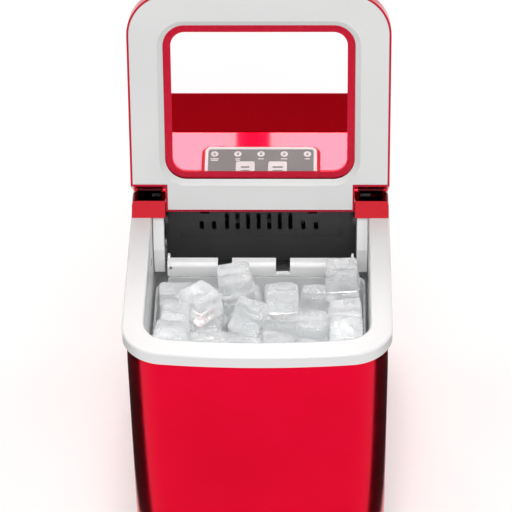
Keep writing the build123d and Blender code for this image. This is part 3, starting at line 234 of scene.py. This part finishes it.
def deck_red():
    """The deck's red, with painted shade on the hinge blocks: near-black in their pockets and a deeper red
    on their tops, both with less coat.
    """
    paint = Paint("deck_red", (0.80, 0.0, 0.018), 0.12, Metallic=1.0, Coat_Weight=DECK_COAT,
                  Coat_Roughness=0.035)
    colour = paint.ramp(paint.noise(scale=14.0), (0.78, 0.0, 0.017), (0.82, 0.0, 0.019))
    top = inside_box(paint, *BLOCK_TOP)
    pocket = inside_box(paint, *BLOCK_POCKET)
    # painted shade: the hinge blocks' tops turn deeper red and their pockets near-black
    for area, painted_shade in ((top, BLOCK_TOP_PAINTED_SHADE), (pocket, POCKET_PAINTED_SHADE)):
        mix = paint.tree.nodes.new("ShaderNodeMix")
        mix.data_type = "RGBA"
        paint.tree.links.new(area, mix.inputs["Factor"])
        paint.tree.links.new(colour, mix.inputs[MIX_COLOUR_A])
        mix.inputs[MIX_COLOUR_B].default_value = (*painted_shade, 1)
        colour = mix.outputs[MIX_COLOUR_OUT]
    paint.tree.links.new(colour, paint.shader.inputs["Base Color"])
    # the painted shade also takes most of the coat away, so these places reflect little
    shade = paint.math("MAXIMUM", top, pocket)
    coat = paint.remap(shade, DECK_COAT, PAINTED_SHADE_COAT, start=0.0, end=1.0)
    paint.tree.links.new(coat, paint.shader.inputs["Coat Weight"])
    return paint.material


def white_gloss():
    paint = Paint("white_gloss", grey(0.66), 0.28, Coat_Weight=0.3, Coat_Roughness=0.12)
    paint.tint((0.655, 0.657, 0.659), (0.665, 0.665, 0.663), scale=9.0)
    paint.polish(0.28, 0.30, scale=40.0)
    return paint.bump(scale=1400.0, height=20 * MICRON, strength=0.5).material


def lid_grey():
    paint = Paint("lid_grey", grey(0.70), 0.38)
    paint.tint((0.69, 0.695, 0.69), (0.735, 0.735, 0.73), scale=11.0)
    paint.polish(0.34, 0.44, scale=50.0)
    return paint.bump(scale=1800.0, height=30 * MICRON, strength=0.6).material


def liner_grey():
    paint = Paint("liner_grey", grey(0.90), 0.33)
    paint.tint((0.89, 0.892, 0.895), (0.91, 0.912, 0.915), scale=12.0)
    return paint.bump(scale=1600.0, height=30 * MICRON, strength=0.5).material


def satin_white():
    paint = Paint("satin_white", grey(0.92), 0.36)
    paint.tint((0.915, 0.915, 0.915), (0.93, 0.93, 0.925), scale=16.0)
    paint.polish(0.30, 0.42, scale=70.0)
    return paint.bump(scale=1500.0, height=30 * MICRON, strength=0.5).material


def dark_plastic(name="dark_plastic", low=0.032, high=0.045):
    paint = Paint(name, grey(low), 0.5)
    paint.tint(grey(low), grey(high), scale=18.0)
    paint.polish(0.42, 0.56, scale=90.0)
    return paint.bump(scale=2600.0, height=60 * MICRON, strength=0.7).material


def clear_window():
    paint = Paint("clear_window", (0.985, 0.93, 0.94), 0.0, Transmission_Weight=1.0, IOR=1.03)
    return paint.tint((0.98, 0.93, 0.94), (0.99, 0.95, 0.955), scale=10.0).material


def clear_basket():
    paint = Paint("clear_basket", (0.93, 0.95, 0.96), 0.12, Transmission_Weight=0.55, IOR=1.3)
    paint.tint((0.92, 0.94, 0.95), (0.96, 0.97, 0.975), scale=14.0)
    return paint.bump(scale=600.0, height=30 * MICRON, strength=0.5).material


def grey_face():
    paint = Paint("grey_face", grey(0.25), 0.5)
    paint.tint((0.235, 0.245, 0.24), (0.26, 0.27, 0.265), scale=30.0)
    return paint.bump(scale=2400.0, height=20 * MICRON, strength=0.5).material


def milky_lens():
    paint = Paint("milky_lens", (0.86, 0.80, 0.80), 0.22, Subsurface_Weight=0.2)
    return paint.tint((0.82, 0.76, 0.77), (0.90, 0.85, 0.85), scale=120.0).material


def rubber():
    paint = Paint("rubber", grey(0.02), 0.7)
    paint.tint(grey(0.016), grey(0.03), scale=80.0)
    return paint.bump(scale=2200.0, height=80 * MICRON, strength=0.8).material


# stretches a noise along X, as on brushed metal
BRUSHED = (0.05, 1.0, 1.0)


def metal(name, colour, roughness, streak=None):
    low = tuple(c * 0.9 for c in colour)
    paint = Paint(name, colour, roughness, Metallic=1.0)
    paint.tint(low, colour, scale=60.0, stretch=streak)
    paint.polish(roughness * 0.8, roughness * 1.25, scale=120.0, stretch=streak)
    return paint.bump(scale=900.0, height=20 * MICRON, strength=0.5, stretch=streak).material


def board():
    paint = Paint("board_green", (0.01, 0.12, 0.04), 0.4)
    return paint.tint((0.008, 0.09, 0.03), (0.015, 0.16, 0.055), scale=260.0, detail=6.0).material


def foam():
    paint = Paint("foam", (0.80, 0.77, 0.66), 0.9)
    paint.tint((0.74, 0.70, 0.58), (0.86, 0.83, 0.74), scale=90.0, detail=6.0)
    return paint.bump(scale=500.0, height=400 * MICRON, strength=0.9).material


def milky_hose():
    paint = Paint("milky_hose", grey(0.75), 0.3, Transmission_Weight=0.4)
    return paint.tint((0.70, 0.72, 0.72), (0.80, 0.81, 0.80), scale=60.0).material


def ice_material():
    """Clear ice with cloudy patches: the white haze inside varies from place to place."""
    paint = Paint("ice", (0.97, 0.985, 1.0), 0.06, Transmission_Weight=0.7, IOR=1.31)
    paint.tint((0.93, 0.95, 0.965), (1.0, 1.0, 1.0), scale=70.0, detail=5.0)
    paint.polish(0.02, 0.14, scale=55.0, detail=5.0)
    clearness = paint.remap(paint.noise(scale=42.0), 0.68, 0.97, start=0.35, end=0.65)
    paint.tree.links.new(clearness, paint.shader.inputs["Transmission Weight"])
    # a faint glow for the light that scatters through the pile
    paint.glow((0.98, 0.985, 0.99), 0.06)
    paint.bump(scale=45.0, height=700 * MICRON, strength=0.6, detail=4.0)
    return paint.bump(scale=260.0, height=200 * MICRON, strength=0.6, detail=3.0).material


finishes = {
    "red_gloss": red_gloss(),
    "white_plastic": white_gloss(),
    "lid_grey": lid_grey(),
    "mechanism_white": satin_white(),
    "window_clear": clear_window(),
    "basket_clear": clear_basket(),
    "face_grey": grey_face(),
    "lens_white": milky_lens(),
    "dark_plastic": dark_plastic(),
    "rear_red": red_gloss("rear_red"),
    "rubber_black": rubber(),
    "hose_clear": milky_hose(),
    "steel": metal("steel", (0.60, 0.60, 0.62), 0.28, BRUSHED),
    "nickel": metal("nickel", (0.72, 0.69, 0.64), 0.22),
    "compressor_black": dark_plastic("compressor_black", 0.012, 0.02),
    "copper": metal("copper", (0.80, 0.42, 0.27), 0.3),
    "aluminium_fin": metal("aluminium_fin", (0.80, 0.80, 0.81), 0.35),
    "brass": metal("brass", (0.75, 0.58, 0.28), 0.3),
    "board_green": board(),
    "foam": foam(),
}
own_finish = {
    "bin_liner": liner_grey(),
    "rear_deck": deck_red(),
    "lid_shell": lid_red(),
    "water_tray": dark_plastic("tray_dark", 0.02, 0.03),
    "evaporator_cover": dark_plastic("cover_black", 0.042, 0.052),
    "shovel_pins": dark_plastic("pin_dark", 0.05, 0.08),
    "arm_pivot_pins": dark_plastic("pivot_dark", 0.05, 0.08),
    "evaporator": metal("evaporator_dull", (0.10, 0.10, 0.10), 0.55),
}
for entry in frame["record"]["subparts"]:
    node = nodes[entry["node"]]
    finish = own_finish.get(entry["node"], finishes[entry["material_slot"]])
    node.data.materials.clear()
    node.data.materials.append(finish)


# ---------------------------------------------------------------- ice
ICE_COUNT = 81
ICE_EDGE = (0.027, 0.033)
ICE_FRAMES = 120

# the form of a cube, in shares of its edge except for the two noise values
CORNER_ROUND = 0.16
LONG_EDGE = 0.3
TAPER = 0.10
DENT = 0.06
HOLLOW_RADIUS = 0.36
HOLLOW_DEPTH = 0.10
HOLLOW_ABOVE = 0.3
DENTS_PER_METRE = 60
NOISE_SHIFT = 9

# where the cubes start to fall: layers of a grid, with gaps to the basket's walls and floor
DROP_COLUMNS = 4
DROP_ROWS = 3
DROP_GAP = 0.030
DROP_GAPS_IN_DEPTH = 0.062
DROP_LIFT = 0.028
DROP_PITCH = 0.046
DROP_JITTER_MM = 3

# the slabs that hold the falling cubes, and how far they reach inside the basket's outer box
WALL_INSIDE = 3.0 * MM
FRONT_INSIDE = 8.0 * MM
FLOOR_INSIDE = 2.5 * MM
WALL_TOP = 0.9
WALL_THICK = 0.05

# the solver is made for large things, so it works at ten times the size
SOLVER_SCALE = 10.0


def ice_cube(name, edge):
    """One moulded cube: rounded, slightly tapered, a little uneven and hollow on top."""
    cube = bmesh.new()
    bmesh.ops.create_cube(cube, size=edge)
    round_off = edge * CORNER_ROUND
    bmesh.ops.bevel(cube, geom=list(cube.edges), offset=round_off, segments=3, profile=0.6, affect="EDGES")
    long_edges = [e for e in cube.edges if e.calc_length() > edge * LONG_EDGE]
    bmesh.ops.subdivide_edges(cube, edges=long_edges, cuts=3, use_grid_fill=True)
    # each cube takes its dents from another part of the noise
    shift = Vector([random.uniform(-NOISE_SHIFT, NOISE_SHIFT) for _ in range(3)])
    for vert in cube.verts:
        taper = 1 - TAPER * (vert.co.z / edge + 0.5)
        vert.co.x *= taper
        vert.co.y *= taper
        dent = noise.noise(vert.co * DENTS_PER_METRE + shift)
        vert.co += vert.co.normalized() * dent * edge * DENT
        hollow = max(0, 1 - (vert.co.xy.length / (edge * HOLLOW_RADIUS)) ** 2)
        if vert.co.z > edge * HOLLOW_ABOVE:
            vert.co.z -= hollow * edge * HOLLOW_DEPTH
    bmesh.ops.recalc_face_normals(cube, faces=cube.faces)
    mesh = bpy.data.meshes.new(name)
    cube.to_mesh(mesh)
    cube.free()
    mesh.shade_smooth()
    return bpy.data.objects.new(name, mesh)


def jitter():
    return random.uniform(-DROP_JITTER_MM, DROP_JITTER_MM) * MM


def pile_ice():
    """Makes the cubes above the basket's floor, lets them come to rest and returns them."""
    low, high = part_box("ice_basket")
    width = high.x - low.x - 2 * DROP_GAP
    depth = high.y - low.y - DROP_GAPS_IN_DEPTH
    cubes = []
    for i in range(ICE_COUNT):
        cube = ice_cube(f"ice_cube_{i:02d}", random.uniform(*ICE_EDGE))
        layer, spot = divmod(i, DROP_COLUMNS * DROP_ROWS)
        row, column = divmod(spot, DROP_COLUMNS)
        x = low.x + DROP_GAP + width * column / (DROP_COLUMNS - 1) + jitter()
        y = low.y + DROP_GAP + depth * row / (DROP_ROWS - 1) + jitter()
        z = low.z + DROP_LIFT + DROP_PITCH * layer
        angle = random.uniform(0, 2 * pi)
        axis = Vector([random.uniform(-1, 1) for _ in range(3)]).normalized()
        cube.matrix_world = Matrix.Translation((x, y, z)) @ Matrix.Rotation(angle, 4, axis)
        bpy.context.scene.collection.objects.link(cube)
        cubes.append(cube)
    settle(cubes, low, high)
    for cube in cubes:
        cube.data.transform(cube.matrix_world)
        cube.matrix_world = Matrix.Identity(4)
    return cubes


def solver_walls(low, high):
    """Two corners of each slab that holds the cubes: the floor, then the left, right, front and back."""
    left = low.x - WALL_THICK
    right = high.x + WALL_THICK
    front = low.y - WALL_THICK
    back = high.y + WALL_THICK
    floor = low.z + FLOOR_INSIDE
    return [
        ((left, front, floor - WALL_THICK), (right, back, floor)),
        ((left, front, floor), (low.x + WALL_INSIDE, back, WALL_TOP)),
        ((high.x - WALL_INSIDE, front, floor), (right, back, WALL_TOP)),
        ((left, front, floor), (right, low.y + FRONT_INSIDE, WALL_TOP)),
        ((left, high.y - WALL_INSIDE, floor), (right, back, WALL_TOP)),
    ]


def make_slab(name, a, b):
    """A block between two corners, at the solver's size."""
    slab = bmesh.new()
    size = Vector(b) - Vector(a)
    bmesh.ops.create_cube(slab, size=1.0)
    for vert in slab.verts:
        vert.co = Vector(vert.co[i] * size[i] * SOLVER_SCALE for i in range(3))
    mesh = bpy.data.meshes.new(name)
    slab.to_mesh(mesh)
    slab.free()
    wall = bpy.data.objects.new(name, mesh)
    wall.location = (Vector(b) + Vector(a)) / 2 * SOLVER_SCALE
    bpy.context.scene.collection.objects.link(wall)
    return wall


def make_double(cube):
    """A copy of a cube at the solver's size."""
    double = bpy.data.objects.new("double", cube.data.copy())
    double.data.transform(Matrix.Scale(SOLVER_SCALE, 4))
    turn = cube.rotation_euler.to_matrix().to_4x4()
    double.matrix_world = Matrix.Translation(cube.location * SOLVER_SCALE) @ turn
    bpy.context.scene.collection.objects.link(double)
    return double


def make_rigid(obj, shape, kind):
    """Gives an object to the solver as an active or passive body."""
    bpy.context.view_layer.objects.active = obj
    bpy.ops.rigidbody.object_add()
    obj.rigid_body.friction = 0.05
    obj.rigid_body.restitution = 0.0
    obj.rigid_body.use_margin = True
    obj.rigid_body.collision_margin = 0.004
    obj.rigid_body.type = kind
    obj.rigid_body.collision_shape = shape


def settle(cubes, low, high):
    """Drops enlarged copies of the cubes with the rigid body solver. Each cube goes where its copy lies."""
    scene = bpy.context.scene
    bpy.ops.rigidbody.world_add()
    world = scene.rigidbody_world
    world.substeps_per_frame = 12
    world.solver_iterations = 30
    world.point_cache.frame_end = ICE_FRAMES
    walls = [make_slab(f"slab_{i}", a, b) for i, (a, b) in enumerate(solver_walls(low, high))]
    doubles = [make_double(cube) for cube in cubes]
    for wall in walls:
        make_rigid(wall, "BOX", "PASSIVE")
    for double in doubles:
        make_rigid(double, "CONVEX_HULL", "ACTIVE")
    for step in range(1, ICE_FRAMES + 1):
        scene.frame_set(step)
    graph = bpy.context.evaluated_depsgraph_get()
    for cube, double in zip(cubes, doubles):
        place = double.evaluated_get(graph).matrix_world.copy()
        place.translation /= SOLVER_SCALE
        cube.matrix_world = place
    scene.frame_set(1)
    bpy.ops.rigidbody.world_remove()
    for obj in walls + doubles:
        mesh = obj.data
        bpy.data.objects.remove(obj)
        bpy.data.meshes.remove(mesh)


ice = ice_material()
for cube in pile_ice():
    cube.data.materials.append(ice)
    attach(cube, "basket")


# ---------------------------------------------------------------- control panel marks
PANEL_TILT = Matrix.Rotation(radians(8.0), 4, "X")
PLATE_THICK = 0.12 * MM
FACE_LIFT = 0.78 * MM
LENS_LIFT = 0.68 * MM
KEY_LIFT = 2.4 * MM
LAMPS = 5
LAMP_DIAMETER = 7.0 * MM
LAMP_CENTRE = 1.3 * MM
# for each lamp: the width in mm of its first tick, and how many ticks it has
TICKS = ((8.0, 2), (5.0, 2), (5.5, 1), (6.5, 1), (5.0, 1))
TICK_HEIGHT = 1.1 * MM
TICK_DOWN = 6.2 * MM
TICK_PITCH = 2.0 * MM
KEY_DOWN = 18.5 * MM
KEY_MARK_HEIGHT = 1.5 * MM


def plate(name, outline):
    """A thin plate over an outline of (x, y) points, with its underside at z = 0."""
    mesh = bmesh.new()
    face = mesh.faces.new([mesh.verts.new((x, y, 0)) for x, y in outline])
    top = bmesh.ops.extrude_face_region(mesh, geom=[face])
    for vert in (v for v in top["geom"] if isinstance(v, bmesh.types.BMVert)):
        vert.co.z += PLATE_THICK
    bmesh.ops.recalc_face_normals(mesh, faces=mesh.faces)
    data = bpy.data.meshes.new(name)
    mesh.to_mesh(data)
    mesh.free()
    return bpy.data.objects.new(name, data)


def bar_outline(width, height):
    """The outline of a bar with round ends."""
    radius = height / 2
    steps = 8
    points = []
    for side in (1, -1):
        for step in range(steps + 1):
            angle = -pi / 2 + pi * step / steps
            points.append((side * (width / 2 - radius + radius * cos(angle)), side * radius * sin(angle)))
    return points


def disc_outline(radius):
    count = 24
    return [(radius * cos(2 * pi * i / count), radius * sin(2 * pi * i / count)) for i in range(count)]


def on_panel(obj, origin, across, up_slope, lift, paint, body):
    """Lays a plate on the tilted panel, measured from the middle lamp, and lets it ride on a body."""
    spot = origin + PANEL_TILT.to_3x3() @ Vector((across, up_slope, lift))
    obj.data.transform(Matrix.Translation(spot) @ PANEL_TILT)
    obj.data.materials.append(paint)
    bpy.context.scene.collection.objects.link(obj)
    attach(obj, body)


def mark_panel():
    """A grey centre and a short tick or two for each lamp, and a plain bar on each of the two keys."""
    low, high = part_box("indicator_lenses")
    centre = (low + high) / 2
    pitch = (high.x - low.x - LAMP_DIAMETER) / (LAMPS - 1)
    dark = Paint("mark_dark", grey(0.10), 0.5).tint(grey(0.09), grey(0.13), scale=300.0).material
    soft = Paint("mark_soft", grey(0.34), 0.5).tint(grey(0.31), grey(0.37), scale=300.0).material
    pale = Paint("mark_pale", grey(0.92), 0.5).tint(grey(0.90), grey(0.94), scale=300.0).material
    for i, (width, rows) in enumerate(TICKS):
        across = (i - LAMPS // 2) * pitch
        disc = plate(f"lamp_centre_{i}", disc_outline(LAMP_CENTRE))
        on_panel(disc, centre, across, 0, LENS_LIFT, soft, "cabinet")
        for row in range(rows):
            bar = plate(f"lamp_tick_{i}_{row}", bar_outline((width - row) * MM, TICK_HEIGHT))
            on_panel(bar, centre, across, -TICK_DOWN - TICK_PITCH * row, FACE_LIFT, pale, "cabinet")
    for node, body, width in (("on_off_button", "on_off", 8.5 * MM), ("select_button", "select", 10.0 * MM)):
        key_low, key_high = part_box(node)
        across = (key_low.x + key_high.x) / 2
        bar = plate(f"{body}_mark", bar_outline(width, KEY_MARK_HEIGHT))
        on_panel(bar, centre, across, -KEY_DOWN, KEY_LIFT, dark, body)


mark_panel()


# ---------------------------------------------------------------- floor, lights and world
FLOOR_HALF = 6.0

# dark cards on the floor, beside the front corners
LOW_CARD_X = (0.17, 0.62)
LOW_CARD_Y = (-0.20, 0.14)
LOW_CARD_Z = 0.004

# a red card behind the machine that leans over it: the y and z of its lower and upper edges
BACK_CARD_HALF = 1.1
BACK_CARD_LOW = (1.75, 1.05)
BACK_CARD_HIGH = (0.75, 2.55)
BACK_CARD_COLOUR = (0.40, 0.0, 0.045)

# two softboxes behind the machine, which the deck reflects with a dark streak between them
SOFTBOX = (0.27, 0.32)
SOFTBOX_Y = 0.915
SOFTBOX_Z = 1.59
SOFTBOX_ROLL = 3.0
STREAK = -0.044
STREAK_WIDTH = 0.053
WARM_WHITE = (1.0, 0.96, 0.92)


def make_stage():
    """The floor, pale and very slightly bright by itself."""
    half = FLOOR_HALF
    mesh = bpy.data.meshes.new("floor")
    corners = [(-half, -half, 0), (half, -half, 0), (half, half, 0), (-half, half, 0)]
    mesh.from_pydata(corners, [], [(0, 1, 2, 3)])
    floor = bpy.data.objects.new("floor", mesh)
    bpy.context.scene.collection.objects.link(floor)
    paint = Paint("floor_pale", grey(0.9), 0.6)
    paint.tint(grey(0.95), grey(0.97), scale=2.0)
    paint.glow((1, 1, 1), 0.12)
    mesh.materials.append(paint.material)


def reflected_card(name, corners, colour):
    """A card that only reflections see, for the darker parts of what the glossy red shows."""
    mesh = bpy.data.meshes.new(name)
    mesh.from_pydata(corners, [], [(0, 1, 2, 3)])
    card = bpy.data.objects.new(name, mesh)
    bpy.context.scene.collection.objects.link(card)
    card.visible_camera = False
    card.visible_diffuse = False
    card.visible_shadow = False
    card.visible_transmission = False
    paint = Paint(name, grey(0.01), 0.9)
    paint.glow(colour, 0.8)
    tones = paint.ramp(paint.noise(scale=4.0), tuple(0.95 * c for c in colour), colour)
    paint.tree.links.new(tones, paint.shader.inputs["Emission Color"])
    mesh.materials.append(paint.material)


def make_cards():
    """The two dark cards beside the front corners and the red one behind."""
    near, far = LOW_CARD_X
    front, back = LOW_CARD_Y
    for side, name in ((-1, "card_left"), (1, "card_right")):
        outline = [(near, front), (far, front), (far, back), (near, back)]
        reflected_card(name, [(side * x, y, LOW_CARD_Z) for x, y in outline], grey(0.01))
    half = BACK_CARD_HALF
    low, high = BACK_CARD_LOW, BACK_CARD_HIGH
    corners = [(-half, *low), (half, *low), (half, *high), (-half, *high)]
    reflected_card("card_back", corners, BACK_CARD_COLOUR)


def area_light(name, place, target, size, power, roll=0.0, spread=180.0, colour=(1, 1, 1)):
    """A rectangular lamp at a place, turned to a target. Roll and spread are in degrees, power in watts."""
    data = bpy.data.lights.new(name, "AREA")
    data.shape = "RECTANGLE"
    data.size, data.size_y = size
    data.energy = power
    data.spread = radians(spread)
    data.color = colour
    light = bpy.data.objects.new(name, data)
    light.location = place
    aim = (Vector(target) - Vector(place)).to_track_quat("-Z", "Y").to_matrix()
    light.rotation_euler = (aim @ Matrix.Rotation(radians(roll), 3, "Z")).to_euler()
    bpy.context.scene.collection.objects.link(light)


def make_lights():
    """A soft key light in front, a faint narrow one into the bin, and the deck's two softboxes."""
    area_light("key", place=(0.2, -1.5, 1.8), target=(0, 0.0, 0.28), size=(1.0, 0.8), power=9)
    area_light("bin_fill", place=(0.0, -0.34, 1.05), target=(0, -0.09, 0.20), size=(0.30, 0.20), power=0.10,
               spread=24.0)
    for side in (-1, 1):
        across = STREAK + side * (STREAK_WIDTH + SOFTBOX[0]) / 2
        area_light(f"deck_{side}", place=(across, SOFTBOX_Y, SOFTBOX_Z), target=(0.7 * across, 0.06, 0.32),
                   size=SOFTBOX, power=2.8, roll=side * SOFTBOX_ROLL, colour=WARM_WHITE)


def make_world():
    """Even white light from all round, and plain colours without a film look."""
    world = bpy.data.worlds.new("world")
    world.use_nodes = True
    world.node_tree.nodes["Background"].inputs["Color"].default_value = (1, 1, 1, 1)
    world.node_tree.nodes["Background"].inputs["Strength"].default_value = 0.78
    bpy.context.scene.world = world
    bpy.context.scene.view_settings.view_transform = "Standard"


make_stage()
make_cards()
make_lights()
make_world()
